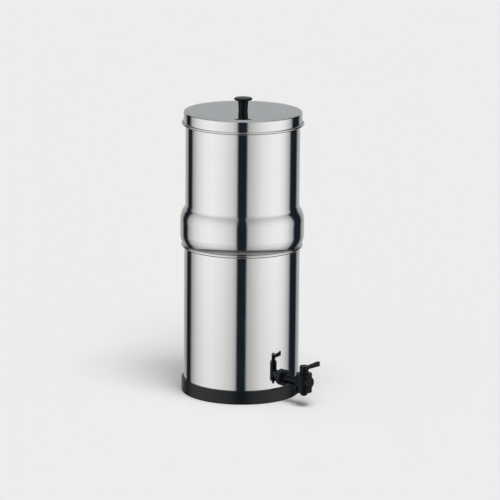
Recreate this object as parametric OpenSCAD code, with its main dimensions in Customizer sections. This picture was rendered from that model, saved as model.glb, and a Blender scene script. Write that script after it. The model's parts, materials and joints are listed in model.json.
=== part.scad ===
// Gravity water filter: two stacked steel chambers, ceramic candles and a lever tap.
// Millimetres, +Z up. The origin is the centre of the resting face, and the tap points along -Y.

/* [Base ring] */
// Height of the rubber ring
ring_h = 25.4; // [22:0.2:32]
// Thickness of the ring round the chamber's wall
ring_wall = 3.7; // [2.5:0.1:6]
// Height of the ledge that carries the lower chamber
ledge_h = 12; // [8:0.5:13]
// How far the ledge reaches in under the chamber
ledge_w = 20; // [14:1:30]
// Rounding of the ring's outer edges
ring_round = 1.6; // [0.8:0.1:2]

/* [Chambers] */
// Thickness of the steel sheet
sheet = 0.8; // [0.6:0.1:1.1]
// Outer radius of the lower chamber's wall
lower_r = 108; // [98:0.5:120]
// Height of the lower chamber, from its underside to the top of its rim
lower_h = 271.6; // [240:0.2:300]
// Outer radius of the rolled edge on the lower rim
lower_roll = 3; // [2.2:0.1:3.6]
// Outer radius of the corner between floor and wall
corner_r = 8; // [6:0.5:10]
// How much smaller the upper wall's radius is than the lower wall's
upper_inset = 1.7; // [0:0.1:4]
// Height of the upper chamber, from the foot of its bulge to the top of its rim
upper_h = 247.6; // [225:0.2:290]
// Outer radius of the rolled edge on the upper rim
upper_roll = 1.6; // [1.3:0.1:2.2]
// Depth of the skirt that nests in the lower chamber
skirt_h = 30; // [22:1:40]

/* [Bulge] */
// How far the bulge stands out past the lower rim
bulge_over = 2.45; // [1.5:0.05:4]
// Rounding of the foot under the bulge
foot_round = 2.6; // [2:0.1:3.2]
// Radius of the curve between foot and band
belly_r = 49; // [40:1:60]
// Height of the bulge's upright band
band_h = 23; // [14:0.5:30]
// Radius of the curve that leads in from the band
shoulder_r = 44; // [36:1:50]
// Radius of the hollow curve that meets the upper wall
shoulder_hollow = 14; // [10:0.5:18]

/* [Lid] */
// Length of the lid's skirt, from the top of the lid's edge
lid_skirt = 24.2; // [18:0.2:30]
// How much higher the lid's flat middle is than its edge
lid_rise = 1.2; // [0.6:0.1:3]
// Width of the slope between that middle and the edge
lid_slope_w = 21.5; // [12:0.5:40]
// Outer radius of the corner round the lid's top
lid_corner = 2.5; // [1.5:0.1:4]
// Outer radius of the rolled bead on the lid's lower edge
lid_roll = 2.3; // [1.8:0.1:2.8]

/* [Knob] */
// Height of the knob above the lid
knob_h = 24.8; // [20:0.2:32]
// Radius of the knob's disc
knob_r = 17; // [14.5:0.1:22]
// Thickness of the disc's rim
knob_rim = 4.2; // [3.4:0.1:5]
// Radius of the stem under the disc
knob_neck_r = 9.5; // [8:0.1:10.4]
// Radius of the stem at the lid
knob_foot_r = 8.6; // [6.5:0.1:9.4]
// Rounding between stem and disc
knob_hollow = 5; // [3:0.1:6]
// Height of the dome on the disc's top
knob_dome = 1; // [0.5:0.1:1.6]
// Radius of the knob screw's shank
screw_r = 2; // [1.5:0.1:2.5]
// Length of the screw in the knob
screw_grip = 11; // [8:0.5:14]
// Radius of the screw's head
screw_head_r = 3.9; // [3.4:0.1:4.4]
// Height of the screw's head
screw_head_h = 2.6; // [2:0.1:3.2]
// Radius of the washer under the screw's head
washer_r = 7; // [5:0.1:9]
// Thickness of that washer
washer_h = 1; // [0.8:0.1:1.5]

/* [Candles] */
// Distance between the two candles' axes
candle_pitch = 86; // [74:1:110]
// Outer radius of the ceramic
candle_r = 25; // [20:0.5:27]
// Length of the ceramic, dome included
candle_h = 170; // [120:1:190]
// Thickness of the ceramic
candle_wall = 7; // [5:0.5:9]
// Length of the carbon core
core_h = 128; // [80:1:140]
// Radius of the hole down the core
core_bore = 4; // [3:0.5:6]
// Height of the candle's end cap
cap_h = 16; // [12:0.5:22]
// Wall of the end cap round the ceramic
cap_wall = 2; // [1.5:0.1:3]
// Depth of the cup that holds the ceramic
cup_depth = 8; // [5:0.5:9]
// Radius of the candle's threaded stem
stem_r = 6; // [5:0.1:6.6]
// Length of the stem below the chamber's floor
stem_drop = 22; // [18:0.5:30]
// Radius of the water way down the stem
stem_bore = 2.5; // [2:0.1:3]
// Radius of the rubber washer under the cap
seal_r = 17; // [12:0.5:20]
// Thickness of that washer
seal_h = 3; // [2:0.1:4]
// Radius of the wing nut's hub
nut_hub_r = 9.5; // [8.5:0.1:11]
// Height of the wing nut's hub
nut_hub_h = 10; // [8:0.5:12]
// Reach of each wing from the nut's axis
wing_reach = 21; // [17:0.5:25]
// Thickness of each wing
wing_t = 3.2; // [2.5:0.1:4]

/* [Tap body] */
// Height of the tap's axis above the rubber ring
tap_rise = 18.3; // [17:0.1:24]
// Distance from the chamber's wall to the upright body's axis
tap_reach = 54.3; // [50:0.1:64]
// Radius of the flange
flange_r = 15.4; // [14:0.1:16.4]
// Thickness of the flange
flange_t = 4; // [3:0.1:5]
// Radius of the barrel where it leaves the flange
barrel_root_r = 9.6; // [8.6:0.1:11]
// Radius of the barrel where it meets the body
barrel_r = 8.2; // [7.5:0.1:8.6]
// Radius of the threaded shank
shank_r = 8; // [7.4:0.1:8.5]
// Length of the shank inside the chamber
shank_in = 24; // [20:0.5:30]
// Radius of the water way through the shank
way_r = 5; // [4:0.1:5.6]
// Radius of the upright body
body_r = 14.8; // [13.4:0.1:16]
// Height of the upright body above the tap's axis
body_up = 18.9; // [17.5:0.1:22]
// Depth of the upright body below the tap's axis
body_down = 17.3; // [16.5:0.1:20]
// Rounding of the upright body's edges
body_round = 1; // [0.5:0.1:1.5]
// Radius of the boss on the body's front
boss_r = 10.7; // [6:0.1:12]
// How far the boss stands out
boss_out = 0.9; // [0.7:0.1:4]
// Height of the boss above the tap's axis
boss_rise = 2.8; // [0:0.1:6]
// Radius of the spout
spout_r = 6.2; // [5:0.1:7]
// How far the spout reaches below the body
spout_drop = 6.6; // [4:0.1:8]
// Radius of the bore in the spout
spout_bore = 3.3; // [2.5:0.1:3.6]

/* [Tap fittings] */
// Thickness of each rubber washer at the wall
wall_washer_t = 3; // [2:0.1:4]
// Width of each rubber washer beyond the shank
wall_washer_w = 7; // [4.5:0.1:7.8]
// Size across the flats of the lock nut
lock_flats = 25; // [23:0.5:28]
// Thickness of the lock nut
lock_t = 9; // [7:0.5:11]
// Radius of the valve plug
plug_r = 8; // [7.4:0.1:8.6]
// Depth of the plug below the tap's axis
plug_down = 12; // [11:0.1:12.6]
// Depth of the bonnet in the body's mouth
bonnet_in = 5; // [4:0.1:6]
// Radius of the bonnet's thread
bonnet_r = 10.6; // [10:0.1:11.2]
// Radius of the neck that stands above the body
neck_r = 8.5; // [7.6:0.1:10]
// Height of the neck
neck_h = 5; // [3:0.1:8]
// Radius of the plug's stem in the neck
pivot_r = 4.5; // [4:0.1:5.2]
// Radius of the O-rings' section
seal_section = 0.9; // [0.7:0.05:1]
// Distance of each O-ring from the tap's axis
seal_offset = 7.6; // [7.2:0.1:8]

/* [Lever] */
// Radius of the lever's hub
hub_r = 8.6; // [7.4:0.1:9.4]
// Height of the lever's hub
hub_h = 8.6; // [7.6:0.1:10]
// Length of the lever from its pivot to its tip
lever_len = 41; // [32:0.1:48]
// Half of the lever's width beside the hub
lever_root = 2.6; // [1.8:0.1:3.6]
// Half of the lever's width at its tip
lever_tip = 4.1; // [3:0.1:5.5]
// Thickness of the lever's arm at its hub
lever_t = 5.6; // [3.6:0.1:6]
// Slope of the arm's top, upwards from the hub
lever_slope = 4.8; // [2:0.1:10]
// Slope of the arm's underside, upwards from the hub
lever_under_slope = 1.2; // [0:0.1:4]

/* [Hidden] */
$fn = 96;
// Clearances
ring_fit = 0.1;
seat_gap = 0.3;
skirt_fit = 1.7;
lid_fit = 0.5;
thread_fit = 0.1;
wall_fit = 0.05;
run_fit = 0.05;
cup_fit = 0.15;
cut = 1;
// Thread forms: distance between turns, and depth
tap_pitch = 2;
candle_thread_pitch = 1.75;
thread_depth = 0.6;
// Where each rolled edge stops, as an angle about the middle of its curl
lower_curl_end = -120;
upper_curl_end = -90;
lid_curl_end = 480;
// Small roundings
skirt_hollow = 2;
core_round = 2;
cap_round = 1;
hub_round = 0.8;
boss_round = 0.6;
spout_round = 1.6;
flange_round = 1.2;
// Small steps and fits
foot_inset = 0.6;
core_fit = 0.4;
seal_fit = 0.03;
groove_fit = 0.02;
groove_ease = 0.1;
drive_ease = 0.2;
hub_cap = 2;
arm_lift = 0.1;
// Wings of the wing nuts: where their upper edge starts, and how far they hang below the hub
wing_top = 4;
wing_hang = 5;
nut_edge = 1;

// Heights of the chambers
lower_z = ledge_h + ring_fit;
lower_rim_z = lower_z + lower_h;
foot_z = lower_rim_z + seat_gap;
floor_z = foot_z - skirt_h;
floor_top_z = floor_z + sheet;
upper_rim_z = foot_z + upper_h;
lid_under_z = upper_rim_z + seat_gap;
lid_top_z = lid_under_z + sheet;
crown_under_z = lid_under_z + lid_rise;
crown_z = lid_top_z + lid_rise;

// Radii of the chambers
ring_r = lower_r + ring_fit + ring_wall;
lower_roll_r = lower_r + lower_roll - sheet;
foot_r = lower_roll_r - foot_inset;
bulge_r = lower_roll_r + lower_roll + bulge_over;
skirt_r = lower_r - sheet - skirt_fit;
upper_r = lower_r - upper_inset;
upper_roll_r = upper_r + upper_roll - sheet;
lid_in_r = upper_roll_r + upper_roll + lid_fit;

// Angles where the bulge's curves meet
belly_angle = acos((belly_r - bulge_r + foot_r) / (belly_r - foot_round));
shoulder_angle = acos(1 - (bulge_r - upper_r) / (shoulder_r + shoulder_hollow));
belly_z = foot_z + foot_round + (belly_r - foot_round) * sin(belly_angle);
shoulder_z = belly_z + band_h;
shoulder_top_z = shoulder_z + (shoulder_r + shoulder_hollow) * sin(shoulder_angle);

// Candles
cap_z = floor_top_z + seal_h;
cap_r = candle_r + cup_fit + cap_wall;
cup_z = cap_z + cap_h - cup_depth;
core_r = candle_r - candle_wall - core_fit;
stem_hole_r = stem_r + thread_fit;

// Tap, with distances out from the chamber's axis
tap_z = ring_h + tap_rise;
tap_d = lower_r + tap_reach;
flange_d = lower_r + wall_washer_t;
barrel_d = flange_d + flange_t;
shank_d = lower_r - sheet - shank_in;
lock_d = lower_r - sheet - wall_washer_t - lock_t;
body_low_z = tap_z - body_down;
body_top_z = tap_z + body_up;
plug_bore_r = plug_r + run_fit;
plug_low_z = tap_z - plug_down;
bonnet_z = body_top_z - bonnet_in;
neck_top_z = body_top_z + neck_h;
hub_z = neck_top_z + seat_gap;
hub_top_z = hub_z + hub_h;
plug_top_z = bonnet_z - seat_gap;
drive_across = sqrt(2) * (pivot_r - drive_ease);
drive_top_z = hub_top_z - hub_cap;
port_r = 4;
seal_path_r = plug_bore_r - seal_fit - seal_section;
groove_r = seal_path_r - seal_section - groove_fit;

steel = "#c8cbce";
black = "#1d1e21";
rubber = "#2a2b2d";
ceramic = "#ece8df";
carbon = "#38383a";

// Points along a circle's arc
function arc(centre, r, from, to, steps = 8) = [
    for (i = [0:steps]) let (a = from + (to - from) * i / steps) centre + r * [cos(a), sin(a)]
];

// Path over a domed face: its middle, a slope w wide that sinks by rise, and the rounding r of its edge
function dome_path(centre, r, w, rise) = let (
    swing = (w * w + rise * rise) / (2 * rise),
    lean = asin(w / swing)
) concat(
    arc([centre[0] - w, centre[1] + rise - swing], swing + r, 90, 90 - lean),
    arc(centre, r, 90 - lean, 0)
);

// The same path with repeated points left out
function single(path) = [
    for (i = [0:len(path) - 1]) if (i == 0 || norm(path[i] - path[i - 1]) > 0.001) path[i]
];

// Unit vector to the left of one stretch of a path
function left(path, i) = let (d = path[i + 1] - path[i]) [-d[1], d[0]] / norm(d);

// Step to the left at one point of a path, mitred where the path turns
function mitre(path, i) = let (
    before = left(path, max(i - 1, 0)),
    after = left(path, min(i, len(path) - 2)),
    sum = before + after
) 2 * sum / (sum * sum);

// Closed outline of a sheet that lies to the left of a path
function sheet_outline(path, t) = concat(path, [
    for (i = [len(path) - 1:-1:0]) path[i] + t * mitre(path, i)
]);

// A turned piece of sheet
module spun_sheet(path) {
    rotate_extrude() polygon(sheet_outline(single(path), sheet));
}

// Upright round bar with rounded ends
module round_bar(r, h, edge) {
    rotate_extrude() polygon(concat(
        [[0, 0]],
        arc([r - edge, edge], edge, -90, 0, 5),
        arc([r - edge, h - edge], edge, 0, 90, 5),
        [[0, h]]
    ));
}

// Upright threaded bar: its crests and roots alternate along Z
module threaded_bar(r, h, pitch) {
    turns = floor(h / pitch);
    rotate_extrude() polygon(concat(
        [[0, 0]],
        [for (i = [0:turns - 1]) each [[r - thread_depth, i * pitch], [r, (i + 0.5) * pitch]]],
        [[r - thread_depth, turns * pitch], [r - thread_depth, h], [0, h]]
    ));
}

// Places an upright shape on the tap's axis, d out from the chamber's axis, pointing outwards
module along_tap(d) {
    translate([0, -d, tap_z]) rotate([90, 0, 0]) children();
}

// Places an upright shape on the axis of the tap's upright body
module on_tap(z) {
    translate([0, -tap_d, z]) children();
}

// Places a shape on a candle's axis: side is -1 for the left one and 1 for the right one
module on_candle(side, z) {
    translate([side * candle_pitch / 2, 0, z]) children();
}

module base_ring() {
    color(rubber) rotate_extrude() polygon(single(concat(
        [[lower_r - ledge_w, 0]],
        arc([ring_r - ring_round, ring_round], ring_round, -90, 0, 5),
        arc([ring_r - ring_round, ring_h - ring_round], ring_round, 0, 90, 5),
        [[lower_r + ring_fit, ring_h]],
        arc([lower_r - corner_r, lower_z + corner_r], corner_r + ring_fit, 0, -90),
        [[lower_r - ledge_w, ledge_h]]
    )));
}

module lower_chamber() {
    color(steel) difference() {
        spun_sheet(concat(
            [[0, lower_z]],
            arc([lower_r - corner_r, lower_z + corner_r], corner_r, -90, 0),
            arc([lower_roll_r, lower_rim_z - lower_roll], lower_roll - sheet, 180, lower_curl_end, 20)
        ));
        along_tap(shank_d) cylinder(r = shank_r + thread_fit, h = flange_d - shank_d);
    }
}

module upper_chamber() {
    color(steel) difference() {
        spun_sheet(concat(
            [[0, floor_z]],
            arc([skirt_r - corner_r, floor_z + corner_r], corner_r, -90, 0),
            arc([skirt_r + skirt_hollow, foot_z - skirt_hollow], skirt_hollow, 180, 90, 6),
            arc([foot_r, foot_z + foot_round], foot_round, -90, -belly_angle, 6),
            arc([bulge_r - belly_r, belly_z], belly_r, -belly_angle, 0, 6),
            arc([bulge_r - shoulder_r, shoulder_z], shoulder_r, 0, shoulder_angle, 10),
            arc([upper_r + shoulder_hollow, shoulder_top_z], shoulder_hollow, 180 + shoulder_angle, 180, 6),
            arc([upper_roll_r, upper_rim_z - upper_roll], upper_roll - sheet, 180, upper_curl_end, 14)
        ));
        for (side = [-1, 1]) {
            on_candle(side, floor_z - cut) cylinder(r = stem_hole_r, h = sheet + 2 * cut);
        }
    }
}

module lid() {
    inner_corner = lid_corner - sheet;
    corner = [lid_in_r - inner_corner, lid_under_z - inner_corner];
    roll_z = lid_top_z - lid_skirt + lid_roll;
    color(steel) difference() {
        spun_sheet(concat(
            [[0, crown_under_z]],
            dome_path(corner, inner_corner, lid_slope_w, lid_rise),
            arc([lid_in_r + lid_roll, roll_z], lid_roll, 180, lid_curl_end, 20)
        ));
        translate([0, 0, crown_under_z - cut]) cylinder(r = screw_r + thread_fit, h = sheet + 2 * cut);
    }
}

module lid_knob() {
    half_rim = knob_rim / 2;
    rim_r = knob_r - half_rim;
    under_z = knob_h - knob_rim - knob_dome;
    rim = [rim_r, under_z + half_rim];
    hollow = min(knob_hollow, rim_r - knob_neck_r);
    color(black) translate([0, 0, crown_z]) difference() {
        rotate_extrude() polygon(single(concat(
            dome_path(rim, half_rim, rim_r, knob_dome),
            arc(rim, half_rim, 0, -90, 6),
            arc([knob_neck_r + hollow, under_z - hollow], hollow, 90, 180, 6),
            [[knob_foot_r, 0], [0, 0]]
        )));
        translate([0, 0, -cut]) cylinder(r = screw_r + thread_fit, h = screw_grip + 2 * cut);
    }
}

module knob_screw() {
    head_z = crown_under_z - washer_h - screw_head_h;
    slot = 1;
    color(steel) translate([0, 0, head_z]) difference() {
        union() {
            cylinder(r = screw_head_r, h = screw_head_h);
            cylinder(r = screw_r, h = screw_head_h + washer_h + sheet + screw_grip);
        }
        translate([-screw_head_r, -slot / 2, -cut]) cube([2 * screw_head_r, slot, cut + slot]);
    }
}

module knob_washer() {
    color(steel) translate([0, 0, crown_under_z - washer_h]) difference() {
        cylinder(r = washer_r, h = washer_h);
        translate([0, 0, -cut]) cylinder(r = screw_r + thread_fit, h = washer_h + 2 * cut);
    }
}

// Solid bar with a domed top, cut from the axis outwards so that it can be turned
module dome_outline(r, h) {
    square([r, h - r]);
    intersection() {
        translate([0, h - r]) circle(r = r);
        translate([0, h - r]) square([r, r]);
    }
}

module candle_shell(side) {
    color(ceramic) on_candle(side, cup_z) rotate_extrude() difference() {
        dome_outline(candle_r, candle_h);
        translate([0, -cut]) dome_outline(candle_r - candle_wall, candle_h - candle_wall + cut);
    }
}

module candle_core(side) {
    color(carbon) on_candle(side, cup_z) difference() {
        round_bar(core_r, core_h, core_round);
        translate([0, 0, -cut]) cylinder(r = core_bore, h = core_h - 2 * core_bore);
    }
}

module candle_base(side) {
    color(black) on_candle(side, cap_z) difference() {
        union() {
            round_bar(cap_r, cap_h, cap_round);
            translate([0, 0, -seal_h - sheet - stem_drop])
                threaded_bar(stem_r, seal_h + sheet + stem_drop + cut, candle_thread_pitch);
        }
        translate([0, 0, cap_h - cup_depth]) cylinder(r = candle_r + cup_fit, h = cup_depth + cut);
        translate([0, 0, -seal_h - sheet - stem_drop - cut])
            cylinder(r = stem_bore, h = seal_h + sheet + stem_drop + cap_h);
    }
}

module candle_seal(side) {
    color(rubber) on_candle(side, floor_top_z) difference() {
        cylinder(r = seal_r, h = seal_h);
        translate([0, 0, -cut]) cylinder(r = stem_hole_r, h = seal_h + 2 * cut);
    }
}

// Outline of one wing of a wing nut, beside the nut's axis
module wing_outline() {
    root = nut_hub_r - wing_t;
    lobe_r = (nut_hub_h + wing_hang - wing_top) / 2;
    lobe = [wing_reach - lobe_r, -wing_top - lobe_r];
    polygon([[root, -nut_edge], [lobe[0], lobe[1] + lobe_r], [lobe[0], lobe[1] - lobe_r],
        [root, nut_edge - nut_hub_h]]);
    translate(lobe) circle(r = lobe_r);
}

module candle_wing_nut(side) {
    color(black) on_candle(side, floor_z) difference() {
        union() {
            translate([0, 0, -nut_hub_h]) round_bar(nut_hub_r, nut_hub_h, nut_edge);
            for (turn = [0, 180]) {
                rotate([0, 0, turn]) translate([0, wing_t / 2, 0]) rotate([90, 0, 0])
                    linear_extrude(wing_t) wing_outline();
            }
        }
        translate([0, 0, -nut_hub_h - cut]) cylinder(r = stem_hole_r, h = nut_hub_h + 2 * cut);
    }
}

module tap_flange() {
    rotate_extrude() polygon(concat(
        [[0, 0], [flange_r, 0]],
        arc([flange_r - flange_round, flange_t - flange_round], flange_round, 0, 90, 5),
        [[0, flange_t]]
    ));
}

module tap_body() {
    color(black) difference() {
        union() {
            along_tap(shank_d) threaded_bar(shank_r, flange_d - shank_d + cut, tap_pitch);
            along_tap(flange_d) tap_flange();
            along_tap(flange_d) cylinder(r1 = barrel_root_r, r2 = barrel_r, h = tap_d - flange_d);
            on_tap(body_low_z) round_bar(body_r, body_up + body_down, body_round);
            translate([0, 0, boss_rise]) along_tap(tap_d) round_bar(boss_r, body_r + boss_out, boss_round);
            on_tap(body_low_z - spout_drop) round_bar(spout_r, spout_drop + 2 * body_round, spout_round);
        }
        along_tap(shank_d - cut) cylinder(r = way_r, h = tap_d - shank_d + cut);
        on_tap(plug_low_z - seat_gap) cylinder(r = plug_bore_r, h = body_top_z - plug_low_z + seat_gap + cut);
        on_tap(bonnet_z) cylinder(r = bonnet_r + thread_fit, h = bonnet_in + cut);
        on_tap(body_low_z - spout_drop - cut) cylinder(r = spout_bore, h = body_down + spout_drop);
    }
}

module tap_outer_washer() {
    // The blank starts inside the wall, and the wall's curve is cut from it
    sink = 2;
    color(rubber) difference() {
        along_tap(lower_r - sink) cylinder(r = shank_r + wall_washer_w, h = wall_washer_t + sink);
        along_tap(lower_r - sink - cut)
            cylinder(r = shank_r + thread_fit, h = wall_washer_t + sink + 2 * cut);
        cylinder(r = lower_r + wall_fit, h = 2 * tap_z, $fn = 720);
    }
}

module tap_inner_washer() {
    face_d = lower_r - sheet - wall_washer_t;
    color(rubber) intersection() {
        along_tap(face_d) difference() {
            cylinder(r = shank_r + wall_washer_w, h = wall_washer_t);
            translate([0, 0, -cut]) cylinder(r = shank_r + thread_fit, h = wall_washer_t + 2 * cut);
        }
        cylinder(r = lower_r - sheet - wall_fit, h = 2 * tap_z, $fn = 720);
    }
}

module tap_lock_nut() {
    corner = lock_flats / sqrt(3);
    color(black) along_tap(lock_d) difference() {
        cylinder(r = corner, h = lock_t, $fn = 6);
        translate([0, 0, -cut]) cylinder(r = shank_r + thread_fit, h = lock_t + 2 * cut);
    }
}

module tap_bonnet() {
    step = 0.5;
    color(black) on_tap(bonnet_z) difference() {
        union() {
            cylinder(r = bonnet_r, h = bonnet_in);
            cylinder(r = neck_r, h = bonnet_in + neck_h / 2);
            cylinder(r = neck_r - step, h = bonnet_in + neck_h);
        }
        translate([0, 0, -cut]) cylinder(r = pivot_r + run_fit, h = bonnet_in + neck_h + 2 * cut);
    }
}

module tap_plug() {
    drive_h = drive_top_z - neck_top_z;
    groove_h = 2 * seal_section + groove_ease;
    color(black) difference() {
        union() {
            on_tap(plug_low_z) cylinder(r = plug_r, h = plug_top_z - plug_low_z);
            on_tap(plug_top_z - cut) cylinder(r = pivot_r, h = neck_top_z - plug_top_z + cut);
            on_tap(neck_top_z + drive_h / 2) cube([drive_across, drive_across, drive_h], center = true);
        }
        for (side = [-1, 1]) {
            on_tap(tap_z + side * seal_offset - groove_h / 2) difference() {
                cylinder(r = plug_r + cut, h = groove_h);
                cylinder(r = groove_r, h = groove_h);
            }
        }
        on_tap(plug_low_z - cut) cylinder(r = spout_bore, h = plug_down + cut);
        on_tap(tap_z) rotate([0, -90, 0]) cylinder(r = port_r, h = plug_r + cut);
        on_tap(tap_z) sphere(r = port_r);
    }
}

module tap_plug_seal(side) {
    color(rubber) on_tap(tap_z + side * seal_offset) rotate_extrude()
        translate([seal_path_r, 0]) circle(r = seal_section);
}

// The arm along +X from the pivot: its plan, cut to its side view
module lever_arm() {
    arm_end = lever_len - lever_tip;
    side_end = lever_len + cut;
    side_top = lever_t + side_end * tan(lever_slope);
    side_under = side_end * tan(lever_under_slope);
    intersection() {
        linear_extrude(side_top) {
            polygon([[0, -lever_root], [arm_end, -lever_tip], [arm_end, lever_tip], [0, lever_root]]);
            translate([arm_end, 0]) circle(r = lever_tip);
        }
        rotate([90, 0, 0]) linear_extrude(2 * lever_tip + 2 * cut, center = true)
            polygon([[0, 0], [side_end, side_under], [side_end, side_top], [0, lever_t]]);
    }
}

module tap_lever() {
    socket = drive_across + 2 * run_fit;
    color(black) difference() {
        union() {
            on_tap(hub_z) round_bar(hub_r, hub_h, hub_round);
            on_tap(hub_z + arm_lift) lever_arm();
        }
        on_tap(hub_z - cut + (drive_top_z - hub_z + cut + seat_gap) / 2)
            cube([socket, socket, drive_top_z - hub_z + cut + seat_gap], center = true);
    }
}

base_ring();
lower_chamber();
upper_chamber();
lid();
lid_knob();
knob_screw();
knob_washer();
candle_shell(-1);  // candle_left_shell
candle_core(-1);  // candle_left_core
candle_base(-1);  // candle_left_base
candle_seal(-1);  // candle_left_seal
candle_wing_nut(-1);  // candle_left_wing_nut
candle_shell(1);  // candle_right_shell
candle_core(1);  // candle_right_core
candle_base(1);  // candle_right_base
candle_seal(1);  // candle_right_seal
candle_wing_nut(1);  // candle_right_wing_nut
tap_body();
tap_outer_washer();
tap_inner_washer();
tap_lock_nut();
tap_bonnet();
tap_plug();
tap_plug_seal(1);  // tap_plug_seal_upper
tap_plug_seal(-1);  // tap_plug_seal_lower
tap_lever();
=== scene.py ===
"""Looks of a gravity water filter with a lever tap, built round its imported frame. Metres, +Z up.

The chambers' common axis is Z, the tap points along -Y and its closed lever along +X.
"""
import json
from math import acos, asin, ceil, cos, degrees, hypot, pi, radians, sin, sqrt, tan

import bmesh
import bpy
from mathutils import Matrix, Vector


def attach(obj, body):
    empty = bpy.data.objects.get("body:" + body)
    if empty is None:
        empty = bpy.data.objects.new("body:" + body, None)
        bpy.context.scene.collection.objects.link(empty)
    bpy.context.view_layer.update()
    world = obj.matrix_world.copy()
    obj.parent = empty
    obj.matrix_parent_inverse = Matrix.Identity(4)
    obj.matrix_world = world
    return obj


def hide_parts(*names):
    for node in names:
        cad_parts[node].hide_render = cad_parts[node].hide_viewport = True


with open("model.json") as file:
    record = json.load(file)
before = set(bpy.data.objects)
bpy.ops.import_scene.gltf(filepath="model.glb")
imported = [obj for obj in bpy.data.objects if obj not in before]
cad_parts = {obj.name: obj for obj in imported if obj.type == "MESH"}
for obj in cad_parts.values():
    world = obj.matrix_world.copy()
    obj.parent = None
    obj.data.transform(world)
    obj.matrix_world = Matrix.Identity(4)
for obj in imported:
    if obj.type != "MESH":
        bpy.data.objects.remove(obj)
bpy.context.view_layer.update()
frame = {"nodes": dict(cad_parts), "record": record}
MM = 0.001

# ---------------------------------------------------------------- sizes, in millimetres

# Sheet of the chambers and the lid, rounding of the chambers' lower corners, and play where one piece
# rests on another
SHEET = 0.8
CORNER_R = 8
SEAT_GAP = 0.3

# Base ring
RING_R = 111.8
RING_H = 25.4
RING_BORE_R = 108.1
RING_ROUND = 1.6
RING_LIP = 0.3
LEDGE_R = 88
LEDGE_H = 12
LEDGE_ROUND = 0.8
RING_PLAY = 0.1

# Lower chamber
LOWER_R = 108
LOWER_H = 271.6
LOWER_Z = LEDGE_H + RING_PLAY
LOWER_RIM_Z = LOWER_Z + LOWER_H
LOWER_ROLL = 3

# Upper chamber: skirt, foot, bulge and wall
UPPER_R = 106.3
UPPER_H = 247.6
FOOT_Z = LOWER_RIM_Z + SEAT_GAP
UPPER_RIM_Z = FOOT_Z + UPPER_H
UPPER_ROLL = 1.6
SKIRT_R = 105.5
SKIRT_H = 30
SKIRT_HOLLOW = 2
FLOOR_Z = FOOT_Z - SKIRT_H
FOOT_R = 109.6
FOOT_ROUND = 2.6
BULGE_R = 115.65
BELLY_R = 49
BAND_H = 23
SHOULDER_R = 44
SHOULDER_HOLLOW = 14

# Lid, whose middle is raised a little
LID_UNDER_Z = UPPER_RIM_Z + SEAT_GAP
LID_TOP_Z = LID_UNDER_Z + SHEET
LID_SKIRT = 24.2
LID_IN_R = 109.2
LID_CORNER = 2.5
LID_RISE = 1.2
LID_SLOPE_W = 21.5
CROWN_UNDER_Z = LID_UNDER_Z + LID_RISE
CROWN_Z = LID_TOP_Z + LID_RISE
LID_ROLL = 2.3

# Knob
KNOB_H = 24.8
KNOB_R = 17
KNOB_RIM = 4.2
KNOB_NECK_R = 9.5
KNOB_FOOT_R = 8.6
KNOB_FOOT_ROUND = 0.4
KNOB_HOLLOW = 5
KNOB_DOME = 1
SCREW_HOLE_R = 2.1
SCREW_HOLE_H = 12

# Candles' end caps, and their stems, which run a little into the caps
CANDLE_X = 43
CANDLE_SEAT_R = 25.15
CAP_R = 27.15
CAP_Z = 257.8
CAP_H = 16
CAP_LOW_ROUND = 1
CAP_TOP_ROUND = 0.6
CAP_LIP = 0.4
CUP_DEPTH = 8
STEM_R = 6
STEM_HOLE_R = 6.1
STEM_BORE = 2.5
STEM_LOW_Z = 232
STEM_SINK = 1
STEM_PITCH = 1.75

# Depth of all threads
THREAD_DEPTH = 0.6

# Tap: distances are from the chambers' axis, along the tap
TAP_Z = 43.7
TAP_D = 162.3
FLANGE_D = 111
FLANGE_R = 15.4
FLANGE_T = 4
FLANGE_ROUND = 1.2
BARREL_ROOT_R = 9.6
BARREL_R = 8.2
SHANK_R = 8
SHANK_D = 83.2
SHANK_SINK = 0.5
SHANK_PITCH = 2
SHANK_HOLE_R = 8.1
WAY_R = 5
WAY_STOP = 1
BODY_R = 14.8
BODY_ROUND = 1
BODY_LOW_Z = TAP_Z - 17.3
BODY_TOP_Z = TAP_Z + 18.9
BOSS_R = 10.7
BOSS_OUT = 0.9
BOSS_RISE = 2.8
BOSS_ROUND = 0.6
SPOUT_R = 6.2
SPOUT_DROP = 6.6
SPOUT_ROUND = 1.6
SPOUT_ROOT = 2
SPOUT_BORE = 3.3
SPOUT_BORE_RISE = 4
LOCK_D = 95.2
LOCK_FLATS = 25
LOCK_T = 9
LOCK_CHAMFER_W = 1.6
LOCK_CHAMFER_H = 1
BONNET_R = 10.6
BONNET_DEPTH = 5
BONNET_PLAY = 0.1
BONNET_Z = BODY_TOP_Z - BONNET_DEPTH
NECK_R = 8.5
NECK_H = 5
NECK_STEP = 0.5
NECK_LOW_ROUND = 0.3
NECK_TOP_ROUND = 0.4
NECK_TOP_Z = BODY_TOP_Z + NECK_H
PIVOT_R = 4.55

# Lever, whose arm runs along +X from the pivot. Slopes and turns are in degrees, a turn on either side
# of the arm's middle line.
HUB_R = 8.6
HUB_H = 8.6
HUB_ROUND = 0.8
HUB_Z = NECK_TOP_Z + SEAT_GAP
DIMPLE_R = 5
DIMPLE_DEPTH = 0.5
LEVER_LEN = 41
LEVER_ROOT = 2.6
LEVER_TIP = 4.1
LEVER_TIP_TURN = 84
LEVER_T = 5.6
LEVER_SLOPE = 4.8
LEVER_UNDER_SLOPE = 1.2
LEVER_LIFT = 0.1
LEVER_ROUND = 0.8
GROOVE_START = HUB_R + 2
GROOVE_ROOT = 1.1
GROOVE_TIP = 2.3
GROOVE_TIP_TURN = 80
GROOVE_DEPTH = 0.7

# Tools that cut: rounding of their ends, reach past the face they start from, and reach to either side
# of a sheet
TOOL_ROUND = 0.1
TOOL_OVER = 1
TOOL_REACH = 3

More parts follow.
